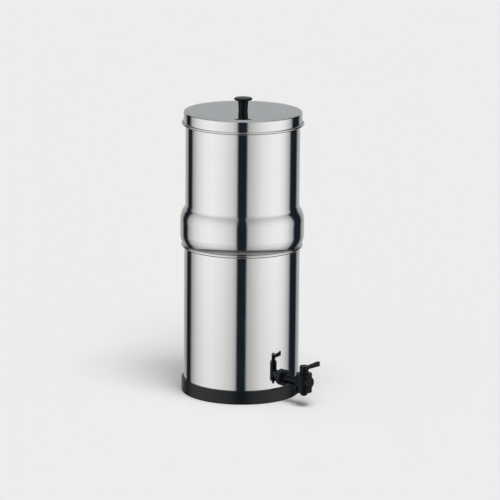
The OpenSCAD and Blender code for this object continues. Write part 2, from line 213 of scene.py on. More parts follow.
# ---------------------------------------------------------------- camera

# The camera stands at this azimuth round the filter, looking at it from slightly above
CAMERA_AZIMUTH = radians(-46)
# Level distance from the filter's axis and height above the floor, in metres
CAMERA_DISTANCE = 5.7836
CAMERA_HEIGHT = 1.6147
CAMERA_PITCH = radians(13.10)
CAMERA_YAW = radians(0.149)
CAMERA_ROLL = radians(0.511)
# Focal length in millimetres, and the nearest and farthest distance that it sees in metres
CAMERA_LENS = 228.9
CAMERA_REACH = (0.1, 100)

TOWARDS_CAMERA = Vector((sin(CAMERA_AZIMUTH), -cos(CAMERA_AZIMUTH), 0))
CAMERA_RIGHT = Vector((cos(CAMERA_AZIMUTH), sin(CAMERA_AZIMUTH), 0))
UP = Vector((0, 0, 1))


def add_camera():
    """Places the camera that gives the main view."""
    camera = bpy.data.objects.new("camera", bpy.data.cameras.new("camera"))
    bpy.context.scene.collection.objects.link(camera)
    bpy.context.scene.camera = camera
    level = (CAMERA_RIGHT * sin(CAMERA_YAW) - TOWARDS_CAMERA * cos(CAMERA_YAW)).normalized()
    ahead = level * cos(CAMERA_PITCH) - UP * sin(CAMERA_PITCH)
    right = ahead.cross(UP).normalized()
    top = right.cross(ahead)
    tilted_right = right * cos(CAMERA_ROLL) + top * sin(CAMERA_ROLL)
    tilted_top = top * cos(CAMERA_ROLL) - right * sin(CAMERA_ROLL)
    turn = Matrix((tilted_right, tilted_top, -ahead)).transposed()
    place = TOWARDS_CAMERA * CAMERA_DISTANCE + UP * CAMERA_HEIGHT
    camera.matrix_world = Matrix.Translation(place) @ turn.to_4x4()
    camera.data.lens = CAMERA_LENS
    camera.data.clip_start, camera.data.clip_end = CAMERA_REACH


# ---------------------------------------------------------------- node trees

class Value:
    """An output socket. Sums, products and the like of it add Math nodes to its tree."""

    def __init__(self, tree, socket):
        self.tree, self.socket = tree, socket

    def math(self, operation, *others):
        """Result of a Math node whose first operand is this value."""
        values = dict(enumerate((self, *others)))
        return self.tree.add("ShaderNodeMath", {"operation": operation}, values).out()

    def __add__(self, other):
        return self.math("ADD", other)

    def __sub__(self, other):
        return self.math("SUBTRACT", other)

    def __rsub__(self, other):
        return self.tree.add("ShaderNodeMath", {"operation": "SUBTRACT"}, {0: other, 1: self}).out()

    def __mul__(self, other):
        return self.math("MULTIPLY", other)

    def __truediv__(self, other):
        return self.math("DIVIDE", other)

    def __abs__(self):
        return self.math("ABSOLUTE")


class Made:
    """A node that was just made, with its outputs by name or place."""

    def __init__(self, tree, node):
        self.tree, self.node = tree, node

    def out(self, key=0):
        return Value(self.tree, self.node.outputs[key])


class Tree:
    """A node tree of any kind. Every node in it comes from add()."""

    def __init__(self, tree):
        self.tree = tree
        self.nodes = tree.nodes

    def add(self, kind, settings=None, inputs=None):
        """Makes a node with settings, and inputs that are plain values or come from other nodes."""
        node = self.nodes.new(kind)
        for name, value in (settings or {}).items():
            if name == "stops":
                self.set_stops(node.color_ramp, value)
            else:
                setattr(node, name, value)
        for key, value in (inputs or {}).items():
            if isinstance(value, Value):
                self.tree.links.new(value.socket, node.inputs[key])
            else:
                node.inputs[key].default_value = value
        return Made(self, node)

    @staticmethod
    def set_stops(ramp, stops):
        """Gives a ramp its stops: each is a place and a grey level."""
        while len(ramp.elements) < len(stops):
            ramp.elements.new(1)
        for element, (place, level) in zip(ramp.elements, stops):
            element.position = place
            element.color = (level, level, level, 1)

    def smooth(self, value, start, end, low=0.0, high=1.0):
        """Smooth step from low to high while value goes from start to end."""
        return self.add("ShaderNodeMapRange", {"interpolation_type": "SMOOTHSTEP"},
                        {0: value, 1: start, 2: end, 3: low, 4: high}).out()

    def mix(self, factor, first, second):
        """Colour mixed from first to second by factor."""
        return self.add("ShaderNodeMix", {"data_type": "RGBA"}, {0: factor, 6: first, 7: second}).out(2)

    def dot(self, vector, fixed):
        """How far a vector socket reaches along a fixed direction."""
        return self.add("ShaderNodeVectorMath", {"operation": "DOT_PRODUCT"},
                        {0: vector, 1: fixed}).out("Value")

    def pack(self, x, y, z):
        """A vector from its three parts."""
        return self.add("ShaderNodeCombineXYZ", {}, {0: x, 1: y, 2: z}).out()

    def split(self, vector):
        """The three parts of a vector."""
        made = self.add("ShaderNodeSeparateXYZ", {}, {0: vector})
        return made.out(0), made.out(1), made.out(2)

    def noise(self, place, scale, detail, rough=0.5):
        """Noise from 0 to 1 at a place."""
        return self.add("ShaderNodeTexNoise", {},
                        {"Vector": place, "Scale": scale, "Detail": detail, "Roughness": rough}).out(0)


def rgb(red, green, blue):
    """An opaque colour."""
    return (red, green, blue, 1)


# ---------------------------------------------------------------- studio

# Grey that the floor and the background share in the picture, and the share of light that the floor
# gives back
BACKDROP = 0.847
FLOOR_ALBEDO = 0.80
# Share of the floor's light that comes evenly from all round
ROOM_LIGHT = 0.26
# Soft lamps that give the rest: turn from the camera to its right, height, width across and share
# of the floor's light
LAMPS = {
    "top_light": (radians(1.3), radians(81), radians(28), 0.36),
    "front_light": (radians(12), radians(54), radians(24), 0.16),
    "side_light": (radians(44.2), radians(67), radians(19), 0.22),
}
# Half the width of the floor, in metres
FLOOR_HALF = 30

# What the polished steel sees round the horizon. Turns are in degrees from the camera, plus to its right.
SOFTBOXES = ((-180, 0.70), (-162, 0.52), (-150, 0.40), (-118, 0.40), (-100, 0.80), (-80, 1.00), (-62, 1.04),
             (-40, 0.94), (-20, 0.74), (-10, 0.48), (10, 0.48), (22, 0.66), (40, 0.90), (62, 1.03),
             (78, 1.03), (92, 0.88), (104, 0.56), (146, 0.38), (162, 0.52), (180, 0.70))
# Dark flags that stand between the softboxes: turn, half width, soft edge
FLAGS = ((-0.3, 9.7, 2.6), (-131.3, 10.6, 5.0), (125.4, 15.5, 5.0))
FLAG_LEVEL = (0.010, 0.015, 0.021)
# Heights between which the flags fade in, near the floor, and out again overhead
FLAG_FOOT = (-40, -36)
FLAG_HEAD = (72, 56)
# Share of the sweep's light by height in degrees
HEIGHTS = ((-90, 0.28), (-50, 0.34), (-46, 0.19), (-42, 0.15), (-38, 0.09), (-36, 0.52), (-30, 0.70),
           (-22, 0.85), (-15.5, 0.87), (-13, 1.0), (3, 0.975), (13, 0.95), (23, 0.885), (33, 0.77),
           (44, 0.66), (55, 0.62), (70, 0.70), (90, 0.72))
# The back wall above the horizon, which the lid's top mirrors: its level, and the turns and heights
# where it fades in
BACK_WALL = (0.42, 0.435, 0.445)
BACK_TURNS = (150, 168)
BACK_HEIGHTS = (-3, 6)


def shares(stops, low, high):
    """Stops in degrees as stops from 0 to 1."""
    return [((place - low) / (high - low), level) for place, level in stops]


def studio_sweep(tree):
    """The studio as the steel sees it, by direction: its light from 0 to 1, and the strength of 1."""
    direction = tree.add("ShaderNodeTexCoord").out("Generated")
    across = tree.dot(direction, CAMERA_RIGHT)
    ahead = tree.dot(direction, TOWARDS_CAMERA)
    height = tree.dot(direction, UP).math("ARCSINE") * (180 / pi)
    turn = across.math("ARCTAN2", ahead) * (180 / pi)
    top = max(level for _, level in SOFTBOXES)
    sweep = [(place, level / top) for place, level in SOFTBOXES]
    boxes = tree.add("ShaderNodeValToRGB", {"stops": shares(sweep, -180, 180)}, {0: turn / 360 + 0.5}).out()
    rise = tree.add("ShaderNodeValToRGB", {"stops": shares(HEIGHTS, -90, 90)}, {0: height / 180 + 0.5}).out()
    light = tree.add("ShaderNodeMix", {"data_type": "RGBA", "blend_type": "MULTIPLY"},
                     {0: 1.0, 6: boxes, 7: rise}).out(2)
    back = tree.smooth(abs(turn), *BACK_TURNS) * tree.smooth(height, *BACK_HEIGHTS)
    light = tree.mix(back, light, rgb(*[level / top for level in BACK_WALL]))
    reach = tree.smooth(height, *FLAG_FOOT) * tree.smooth(height, *FLAG_HEAD)
    for centre, half, edge in FLAGS:
        shade = tree.smooth(abs(turn - centre), half + edge, half - edge)
        light = tree.mix(shade * reach, light, rgb(*FLAG_LEVEL))
    return light, top


def add_world():
    """Camera rays see the backdrop's grey, glossy rays see the studio, and all others a plain soft light."""
    world = bpy.data.worlds.new("studio")
    bpy.context.scene.world = world
    world.use_nodes = True
    tree = Tree(world.node_tree)
    tree.nodes.clear()
    path = tree.add("ShaderNodeLightPath")
    light, top = studio_sweep(tree)
    sweep = tree.add("ShaderNodeBackground", {}, {0: light, 1: top})
    soft = tree.add("ShaderNodeBackground", {}, {0: rgb(1, 1, 1), 1: ROOM_LIGHT * BACKDROP / FLOOR_ALBEDO})
    seen = tree.add("ShaderNodeBackground", {}, {0: rgb(1, 1, 1), 1: BACKDROP})
    glossy = tree.add("ShaderNodeMixShader", {},
                      {0: path.out("Is Glossy Ray"), 1: soft.out(), 2: sweep.out()})
    clear = path.out("Is Camera Ray").math("MAXIMUM", path.out("Is Transmission Ray"))
    final = tree.add("ShaderNodeMixShader", {}, {0: clear, 1: glossy.out(), 2: seen.out()})
    tree.add("ShaderNodeOutputWorld", {}, {0: final.out()})


def add_lamp(name, turn, height, width, share):
    """A far soft lamp that gives its share of the floor's light and isn't mirrored."""
    lamp = bpy.data.lights.new(name, "SUN")
    lamp.energy = share * BACKDROP / FLOOR_ALBEDO * pi / sin(height)
    lamp.angle = width
    sun = bpy.data.objects.new(name, lamp)
    bpy.context.scene.collection.objects.link(sun)
    level = TOWARDS_CAMERA * cos(turn) + CAMERA_RIGHT * sin(turn)
    aim = level * cos(height) + UP * sin(height)
    sun.rotation_mode = "QUATERNION"
    sun.rotation_quaternion = aim.to_track_quat("Z", "Y")
    sun.visible_glossy = False


def add_floor():
    """Pale floor that keeps the filter's shadow and isn't mirrored in the steel."""
    mesh = bpy.data.meshes.new("floor")
    corners = [(x * FLOOR_HALF, y * FLOOR_HALF, 0) for x, y in ((-1, -1), (1, -1), (1, 1), (-1, 1))]
    mesh.from_pydata(corners, [], [(0, 1, 2, 3)])
    floor = bpy.data.objects.new("floor", mesh)
    bpy.context.scene.collection.objects.link(floor)
    material = bpy.data.materials.new("pale_floor")
    material.use_nodes = True
    tree = Tree(material.node_tree)
    tree.nodes.clear()
    matt = tree.add("ShaderNodeBsdfDiffuse", {}, {0: rgb(*[FLOOR_ALBEDO] * 3)})
    tree.add("ShaderNodeOutputMaterial", {}, {0: matt.out()})
    mesh.materials.append(material)
    floor.visible_glossy = False


# ---------------------------------------------------------------- finishes

# Nearer the axis than this, in metres, the turned lines no longer close up
AXIS_CLEARANCE = 0.002


class Finish(Tree):
    """A material that ends in one Principled shader."""

    def __init__(self, name):
        self.material = bpy.data.materials.new(name)
        self.material.use_nodes = True
        super().__init__(self.material.node_tree)
        self.nodes.clear()
        self.place = self.add("ShaderNodeTexCoord").out("Object")

    def bump(self, height, depth, under=None):
        """Normal that a relief of that depth in metres gives, laid over another normal if there is one."""
        inputs = {"Height": height, "Distance": depth, "Strength": 1.0}
        if under:
            inputs["Normal"] = under
        return self.add("ShaderNodeBump", {}, inputs).out()

    def dress(self, inputs):
        """Ends the tree in its shader and gives back the material."""
        shader = self.add("ShaderNodeBsdfPrincipled", {}, inputs)
        self.add("ShaderNodeOutputMaterial", {}, {0: shader.out()})
        return self.material

    def turned_place(self, turns, lines):
        """Place in which a noise makes lines that run round the filter's axis."""
        x, y, z = self.split(self.place)
        radius = (x * x + y * y).math("SQRT").math("MAXIMUM", AXIS_CLEARANCE)
        return self.pack(x / radius * turns, y / radius * turns, (z + radius) * lines)


def polished_steel():
    """Mirror-polished sheet: faint polishing lines round the axis, soft smudges and a little waviness."""
    finish = Finish("polished_steel")
    lines = finish.noise(finish.turned_place(turns=2, lines=700), scale=1, detail=2)
    smudges = finish.noise(finish.place, scale=24, detail=3)
    waves = finish.noise(finish.place, scale=17, detail=1)
    tint = finish.mix(lines, rgb(0.77, 0.77, 0.765), rgb(0.83, 0.83, 0.825))
    roughness = finish.smooth(smudges, 0.42, 0.72, low=0.055, high=0.085) + lines * 0.02
    normal = finish.bump(waves, depth=0.00004)
    return finish.dress({"Base Color": tint, "Metallic": 1.0, "Roughness": roughness, "Normal": normal})


def plain_steel():
    """Machined stainless steel of the small fittings."""
    finish = Finish("plain_steel")
    scratches = finish.noise(finish.place, scale=900, detail=3)
    tint = finish.mix(scratches, rgb(0.52, 0.52, 0.51), rgb(0.68, 0.68, 0.67))
    roughness = finish.smooth(scratches, 0.3, 0.7, low=0.24, high=0.38)
    return finish.dress({"Base Color": tint, "Metallic": 1.0, "Roughness": roughness})


def moulded_plastic(name, dark, light, smooth_end, rough_end, grain_depth, shine=0.5):
    """Moulded plastic with a fine spark-eroded grain and slight flow marks."""
    finish = Finish(name)
    grain = finish.noise(finish.place, scale=1500, detail=2)
    flow = finish.noise(finish.place, scale=60, detail=3)
    tint = finish.mix(flow, rgb(*dark), rgb(*light))
    roughness = finish.smooth(flow, 0.3, 0.7, low=smooth_end, high=rough_end)
    return finish.dress({"Base Color": tint, "Roughness": roughness, "Specular IOR Level": shine,
                         "Normal": finish.bump(grain, depth=grain_depth)})


def ring_rubber():
    """Matt rubber of the base ring, with fine moulding lines round it and a little dust in them."""
    finish = Finish("ring_rubber")
    lines = finish.noise(finish.turned_place(turns=1, lines=420), scale=1, detail=1)
    grain = finish.noise(finish.place, scale=1100, detail=2)
    bloom = finish.noise(finish.place, scale=30, detail=3)
    clean, dusty = rgb(0.0012, 0.0032, 0.0060), rgb(0.0028, 0.0050, 0.0084)
    tint = finish.mix(finish.smooth(bloom, 0.35, 0.7), clean, dusty)
    normal = finish.bump(grain, depth=0.00003, under=finish.bump(lines, depth=0.00012))
    return finish.dress({"Base Color": tint, "Roughness": finish.smooth(bloom, 0.3, 0.7, low=0.28, high=0.36),
                         "Specular IOR Level": 0.4, "Normal": normal})


def washer_rubber():
    """Softer, duller rubber of the washers and O-rings."""
    finish = Finish("washer_rubber")
    grain = finish.noise(finish.place, scale=1400, detail=2)
    tint = finish.mix(grain, rgb(0.014, 0.014, 0.015), rgb(0.024, 0.024, 0.025))
    return finish.dress({"Base Color": tint, "Roughness": 0.7, "Normal": finish.bump(grain, depth=0.00004)})


def porous_ceramic():
    """Unglazed off-white ceramic with fine pores and a trace of water stain."""
    finish = Finish("porous_ceramic")
    pores = finish.noise(finish.place, scale=1300, detail=4, rough=0.7)
    cloud = finish.noise(finish.place, scale=26, detail=3)
    pale = finish.mix(finish.smooth(cloud, 0.35, 0.75), rgb(0.80, 0.775, 0.715), rgb(0.72, 0.68, 0.60))
    tint = finish.mix(finish.smooth(pores, 0.56, 0.70, low=0, high=0.5), pale, rgb(0.50, 0.47, 0.41))
    return finish.dress({"Base Color": tint, "Roughness": 0.86, "Normal": finish.bump(pores, depth=0.00010)})


def pressed_carbon():
    """Black carbon block pressed from grains."""
    finish = Finish("pressed_carbon")
    grains = finish.noise(finish.place, scale=800, detail=4, rough=0.7)
    tint = finish.mix(grains, rgb(0.012, 0.012, 0.012), rgb(0.055, 0.055, 0.055))
    return finish.dress({"Base Color": tint, "Roughness": 0.9, "Normal": finish.bump(grains, depth=0.0002)})


# Finish of each slot in the record
FINISHES = {
    "polished_steel": polished_steel(),
    "screw_steel": plain_steel(),
    "black_plastic": moulded_plastic("black_plastic", (0.0010, 0.0030, 0.0058), (0.0016, 0.0040, 0.0072),
                                     smooth_end=0.17, rough_end=0.25, grain_depth=0.000015, shine=0.17),
    "valve_plastic": moulded_plastic("valve_plastic", (0.026, 0.026, 0.029), (0.034, 0.034, 0.037),
                                     smooth_end=0.42, rough_end=0.52, grain_depth=0.00002),
    "candle_plastic": moulded_plastic("candle_plastic", (0.66, 0.66, 0.64), (0.72, 0.72, 0.70),
                                      smooth_end=0.40, rough_end=0.50, grain_depth=0.00002),
    "base_rubber": ring_rubber(),
    "washer_rubber": washer_rubber(),
    "candle_ceramic": porous_ceramic(),
    "candle_carbon": pressed_carbon(),
}


# ---------------------------------------------------------------- outlines, in millimetres

# Points of an outline that are closer than this are one point
SAME_POINT = 0.001
# How close to its ends a long stretch is supported, and how long a stretch that needs it is
SUPPORT_REACH = 0.4
LONG_STRETCH = 6 * SUPPORT_REACH


def arc(x, z, r, start, end, step=4):
    """Points along a circle's arc, with angles in degrees."""
    steps = ceil(abs(end - start) / step)
    turns = [radians(start + (end - start) * i / steps) for i in range(steps + 1)]
    return [(x + r * cos(turn), z + r * sin(turn)) for turn in turns]


def dome_path(x, z, r, width, rise):
    """Path over a domed face: its middle, a slope that sinks by the rise, and the rounding r of its edge."""
    swing = (width ** 2 + rise ** 2) / (2 * rise)
    lean = degrees(asin(width / swing))
    slope = arc(x - width, z + rise - swing, swing + r, 90, 90 - lean, 0.4)
    return [*slope, *arc(x, z, r, 90 - lean, 0)]


def single(path):
    """The path without repeated points."""
    kept = [path[0]]
    for before, point in zip(path, path[1:]):
        if hypot(point[0] - before[0], point[1] - before[1]) > SAME_POINT:
            kept.append(point)
    return kept


def supported(path):
    """The path with a point close to each end of every long stretch, so that its faces shade flat."""
    held = [path[0]]
    for (x, z), (end_x, end_z) in zip(path, path[1:]):
        length = hypot(end_x - x, end_z - z)
        if length > LONG_STRETCH:
            near = SUPPORT_REACH / length
            held += [(x + (end_x - x) * share, z + (end_z - z) * share) for share in (near, 1 - near)]
        held.append((end_x, end_z))
    return held


def left_of(path, thickness):
    """The path moved to its left by the thickness, mitred where it turns."""
    moved = []
    for i, (x, z) in enumerate(path):
        sides = []
        for start, end in ((max(i - 1, 0), max(i, 1)), (min(i, len(path) - 2), min(i + 1, len(path) - 1))):
            step = Vector(path[end]) - Vector(path[start])
            sides.append(Vector((-step.y, step.x)).normalized())
        total = sides[0] + sides[1]
        shift = total * (2 * thickness / total.dot(total))
        moved.append((x + shift.x, z + shift.y))
    return moved


def sheet_outline(path):
    """Outline of a steel sheet whose one face follows the path and whose other lies to its left."""
    path = supported(single(path))
    return path + left_of(path, SHEET)[::-1]


def bar_outline(r, low, high, edge=TOOL_ROUND):
    """Outline of an upright round bar with rounded ends."""
    foot = arc(r - edge, low + edge, edge, -90, 0, 15)
    head = arc(r - edge, high - edge, edge, 0, 90, 15)
    return [(0, low), *foot, *head, (0, high)]


# ---------------------------------------------------------------- making meshes

# Faces round a turned mesh
WIDE_ROUND = 288
MIDDLE_ROUND = 128
SMALL_ROUND = 96
HOLE_ROUND = 64
BORE_ROUND = 48
STEM_BORE_ROUND = 32
# Faces round a threaded rod, and along it for each turn of its thread
THREAD_SIDES = 48
THREAD_ROWS = 8
# An outline is swept round a circle of this radius, in metres
GUIDE_R = 0.2
# In metres, points closer than this are welded, and edges shorter than this are dissolved
WELD = 1e-6
NO_LENGTH = 1e-7
# Edges that turn by more than this stay sharp
SHARP_TURN = radians(35)


class Form(Tree):
    """A Geometry Nodes tree with named inputs, which makes one kind of shape."""

    def __init__(self, name, inputs):
        super().__init__(bpy.data.node_groups.new(name, "GeometryNodeTree"))
        face = self.tree.interface
        face.new_socket("Geometry", in_out="OUTPUT", socket_type="NodeSocketGeometry")
        self.keys = {label: face.new_socket(label, in_out="INPUT", socket_type=kind).identifier
                     for label, kind in (inputs | {"Material": "NodeSocketMaterial"}).items()}
        self.entry = self.add("NodeGroupInput")

    def close(self, geometry):
        """Ends the tree in its geometry, in the material that is asked for."""
        real = self.add("GeometryNodeRealizeInstances", {}, {0: geometry}).out()
        dressed = self.add("GeometryNodeSetMaterial", {}, {0: real, "Material": self.entry.out("Material")})
        self.add("NodeGroupOutput", {}, {0: dressed.out()})

    def step(self, values):
        """The modifier that runs this tree with these values."""
        inputs = {self.keys[label]: value for label, value in values.items()}
        return "NODES", {"node_group": self.tree}, inputs


def turning_form():
    """Turns an outline once round the axis."""
    form = Form("turning", {"Outline": "NodeSocketGeometry", "Segments": "NodeSocketInt"})
    outline = form.add("GeometryNodeMeshToCurve", {}, {0: form.entry.out("Outline")}).out()
    circle = form.add("GeometryNodeCurvePrimitiveCircle", {},
                      {"Resolution": form.entry.out("Segments"), "Radius": GUIDE_R}).out()
    swept = form.add("GeometryNodeCurveToMesh", {}, {0: circle, 1: outline}).out()
    merged = form.add("GeometryNodeMergeByDistance", {}, {0: swept, "Distance": WELD}).out()
    form.close(merged)
    return form


def thread_form():
    """Upright rod with a helical thread on it, standing on the origin. Sizes are in metres."""
    labels = ("Radius", "Depth", "Pitch", "Length")
    form = Form("thread", {label: "NodeSocketFloat" for label in labels} | {"Rows": "NodeSocketInt"})
    radius, depth, pitch, length = (form.entry.out(label) for label in labels)
    rod = form.add("GeometryNodeMeshCylinder", {},
                   {"Vertices": THREAD_SIDES, "Side Segments": form.entry.out("Rows"), "Radius": radius,
                    "Depth": length}).out()
    x, y, z = form.split(form.add("GeometryNodeInputPosition").out())
    turn = y.math("ARCTAN2", x) / (2 * pi)
    ridge = abs((z / pitch - turn).math("FRACT") * 2 - 1)
    shrink = 1 - ridge * depth / radius
    formed = form.add("GeometryNodeSetPosition", {},
                      {0: rod, "Position": form.pack(x * shrink, y * shrink, z + length / 2)}).out()
    form.close(formed)
    return form


TURNING = turning_form()
THREAD = thread_form()


def add_object(name, mesh):
    """Adds an object with this mesh to the scene."""
    holder = bpy.data.objects.new(name, mesh)
    bpy.context.scene.collection.objects.link(holder)
    return holder


def shaped(mesh, *steps):
    """The mesh as it comes out of a row of modifiers: each is a kind, its settings and its tree's inputs."""
    holder = add_object("work", mesh)
    for kind, settings, inputs in steps:
        modifier = holder.modifiers.new(kind, kind)
        for name, value in settings.items():
            setattr(modifier, name, value)
        for key, value in inputs.items():
            modifier[key] = value
    graph = bpy.context.evaluated_depsgraph_get()
    result = bpy.data.meshes.new_from_object(holder.evaluated_get(graph), depsgraph=graph)
    bpy.data.objects.remove(holder)
    return result


def turned(outline, segments=SMALL_ROUND, closed=False):
    """Mesh of an outline turned round the axis. An outline that isn't closed starts and ends on the axis."""
    points = single(outline)
    points = supported(points + points[:1])[:-1] if closed else supported(points)
    edges = [(i, i + 1) for i in range(len(points) - 1)] + ([(len(points) - 1, 0)] if closed else [])
    mesh = bpy.data.meshes.new("outline")
    mesh.from_pydata([(x * MM - GUIDE_R, -z * MM, 0) for x, z in points], edges, [])
    return shaped(mesh, TURNING.step({"Segments": segments}))


def threaded(r, pitch, length):
    """Upright threaded rod, standing on the origin."""
    sizes = {"Radius": r * MM, "Depth": THREAD_DEPTH * MM, "Pitch": pitch * MM, "Length": length * MM,
             "Rows": ceil(THREAD_ROWS * length / pitch)}
    return shaped(bpy.data.meshes.new("rod"), THREAD.step(sizes))


def shifted(mesh, x=0, y=0, z=0):
    """The mesh shifted in millimetres."""
    mesh.transform(Matrix.Translation(Vector((x, y, z)) * MM))
    return mesh


def along_tap(mesh, d, rise=0):
    """Lays an upright mesh along the tap's axis, d out from the chambers' axis."""
    mesh.transform(Matrix.Rotation(radians(90), 4, "X"))
    return shifted(mesh, 0, -d, TAP_Z + rise)


def on_tap(mesh, z=0):
    """Stands an upright mesh on the axis of the tap's upright body."""
    return shifted(mesh, 0, -TAP_D, z)


def joined(*meshes):
    """One mesh made of several."""
    work = bmesh.new()
    for mesh in meshes:
        work.from_mesh(mesh)
    result = bpy.data.meshes.new("joined")
    work.to_mesh(result)
    work.free()
    return result


def carved(mesh, *tools, operation="DIFFERENCE"):
    """The mesh with others cut from it, or with only what it shares with them kept."""
    holders = [add_object("tool", finished(tool)) for tool in tools]
    steps = [("BOOLEAN", {"operation": operation, "solver": "EXACT", "object": holder}, {})
             for holder in holders]
    result = shaped(finished(mesh), *steps)
    for holder in holders:
        bpy.data.objects.remove(holder)
    return result


def melted(mesh, voxel, keep):
    """Overlapping solids melted into one moulding, with small fillets where they meet. Of the fine faces
    that this makes, the share to keep is left."""
    return shaped(finished(mesh),
                  ("REMESH", {"mode": "VOXEL", "voxel_size": voxel * MM}, {}),
                  ("SMOOTH", {"factor": 0.5, "iterations": 2}, {}),
                  ("DECIMATE", {"ratio": keep}, {}))


def finished(mesh):
    """The mesh with its seams closed, faces outwards, and smooth except at sharp edges."""
    work = bmesh.new()
    work.from_mesh(mesh)
    bmesh.ops.remove_doubles(work, verts=work.verts, dist=WELD)
    bmesh.ops.dissolve_degenerate(work, edges=work.edges, dist=NO_LENGTH)
    bmesh.ops.recalc_face_normals(work, faces=work.faces)
    for face in work.faces:
        face.smooth = True
    for edge in work.edges:
        edge.smooth = edge.calc_face_angle(pi) < SHARP_TURN
    work.to_mesh(mesh)
    work.free()
    return mesh


def add_piece(node, mesh, body, slot):
    """Adds a finished piece that stands for a CAD node."""
    mesh.materials.clear()
    mesh.materials.append(FINISHES[slot])
    mesh.polygons.foreach_set("material_index", [0] * len(mesh.polygons))
    piece = add_object(f"{node}_form", finished(mesh))
    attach(piece, body)
    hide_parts(node)


# ---------------------------------------------------------------- chambers and lid

def lower_chamber_mesh():
    """Spun chamber with a rolled rim and the hole for the tap."""
    roll_r = LOWER_R + LOWER_ROLL - SHEET
    # Points above and below the flange keep the fine faces round the hole between them
    shell = turned(sheet_outline([
        (0, LOWER_Z),
        *arc(LOWER_R - CORNER_R, LOWER_Z + CORNER_R, CORNER_R, -90, 0),
        (LOWER_R, TAP_Z - FLANGE_R),
        (LOWER_R, TAP_Z + FLANGE_R),
        *arc(roll_r, LOWER_RIM_Z - LOWER_ROLL, LOWER_ROLL - SHEET, 180, -120, 7.5),
    ]), WIDE_ROUND)
    hole = turned(bar_outline(SHANK_HOLE_R, -TOOL_REACH, TOOL_REACH), HOLE_ROUND)
    return carved(shell, along_tap(hole, LOWER_R))


def upper_chamber_mesh():
    """Spun chamber with a nesting skirt, a bulge and two holes for the candles' stems."""
    belly = degrees(acos((BELLY_R - BULGE_R + FOOT_R) / (BELLY_R - FOOT_ROUND)))
    shoulder = degrees(acos(1 - (BULGE_R - UPPER_R) / (SHOULDER_R + SHOULDER_HOLLOW)))
    belly_z = FOOT_Z + FOOT_ROUND + (BELLY_R - FOOT_ROUND) * sin(radians(belly))
    shoulder_z = belly_z + BAND_H
    hollow_z = shoulder_z + (SHOULDER_R + SHOULDER_HOLLOW) * sin(radians(shoulder))
    roll_r = UPPER_R + UPPER_ROLL - SHEET
    shell = turned(sheet_outline([
        (0, FLOOR_Z),
        *arc(SKIRT_R - CORNER_R, FLOOR_Z + CORNER_R, CORNER_R, -90, 0, 7.5),
        *arc(SKIRT_R + SKIRT_HOLLOW, FOOT_Z - SKIRT_HOLLOW, SKIRT_HOLLOW, 180, 90, 9),
        *arc(FOOT_R, FOOT_Z + FOOT_ROUND, FOOT_ROUND, -90, -belly, 7.5),
        *arc(BULGE_R - BELLY_R, belly_z, BELLY_R, -belly, 0, 2),
        *arc(BULGE_R - SHOULDER_R, shoulder_z, SHOULDER_R, 0, shoulder, 2),
        *arc(UPPER_R + SHOULDER_HOLLOW, hollow_z, SHOULDER_HOLLOW, 180 + shoulder, 180, 3),
        *arc(roll_r, UPPER_RIM_Z - UPPER_ROLL, UPPER_ROLL - SHEET, 180, -90, 10),
    ]), WIDE_ROUND)
    hole = bar_outline(STEM_HOLE_R, -TOOL_REACH, TOOL_REACH)
    holes = [shifted(turned(hole, HOLE_ROUND), side * CANDLE_X, 0, FLOOR_Z) for side in (-1, 1)]
    return carved(shell, *holes)


def lid_mesh():
    """Pressed lid with a rolled bead round its lower edge and a hole for the knob's screw."""
    inner = LID_CORNER - SHEET
    roll_z = LID_TOP_Z - LID_SKIRT + LID_ROLL
    return turned(sheet_outline([
        (SCREW_HOLE_R, CROWN_UNDER_Z),
        *dome_path(LID_IN_R - inner, LID_UNDER_Z - inner, inner, LID_SLOPE_W, LID_RISE),
        *arc(LID_IN_R + LID_ROLL, roll_z, LID_ROLL, 180, 480, 7.5),
    ]), WIDE_ROUND, closed=True)


def knob_mesh():
    """Turned knob: a disc with a low dome on a waisted stem."""
    half_rim = KNOB_RIM / 2
    rim_r = KNOB_R - half_rim
    under_z = KNOB_H - KNOB_RIM - KNOB_DOME
    outline = [
        *dome_path(rim_r, under_z + half_rim, half_rim, rim_r, KNOB_DOME),
        *arc(rim_r, under_z + half_rim, half_rim, 0, -90, 7.5),
        *arc(KNOB_NECK_R + KNOB_HOLLOW, under_z - KNOB_HOLLOW, KNOB_HOLLOW, 90, 180, 6),
        *arc(KNOB_FOOT_R - KNOB_FOOT_ROUND, KNOB_FOOT_ROUND, KNOB_FOOT_ROUND, 0, -90, 15),
        (SCREW_HOLE_R, 0),
        (SCREW_HOLE_R, SCREW_HOLE_H),
        (0, SCREW_HOLE_H),
    ]
    return shifted(turned(outline[::-1], MIDDLE_ROUND), z=CROWN_Z)


def base_ring_mesh():
    """Rubber ring with a ledge that carries the lower chamber."""
    ledge_r = LEDGE_R + LEDGE_ROUND
    return turned([
        (ledge_r, 0),
        *arc(RING_R - RING_ROUND, RING_ROUND, RING_ROUND, -90, 0, 9),
        *arc(RING_R - RING_ROUND, RING_H - RING_ROUND, RING_ROUND, 0, 90, 9),
        *arc(RING_BORE_R + RING_LIP, RING_H - RING_LIP, RING_LIP, 90, 180, 30),
        *arc(LOWER_R - CORNER_R, LOWER_Z + CORNER_R, CORNER_R + RING_PLAY, 0, -90, 7.5),
        (ledge_r, LEDGE_H),
        *arc(ledge_r, LEDGE_H - LEDGE_ROUND, LEDGE_ROUND, 90, 180, 15),
        *arc(ledge_r, LEDGE_ROUND, LEDGE_ROUND, 180, 270, 15),
    ], WIDE_ROUND, closed=True)


# ---------------------------------------------------------------- candles

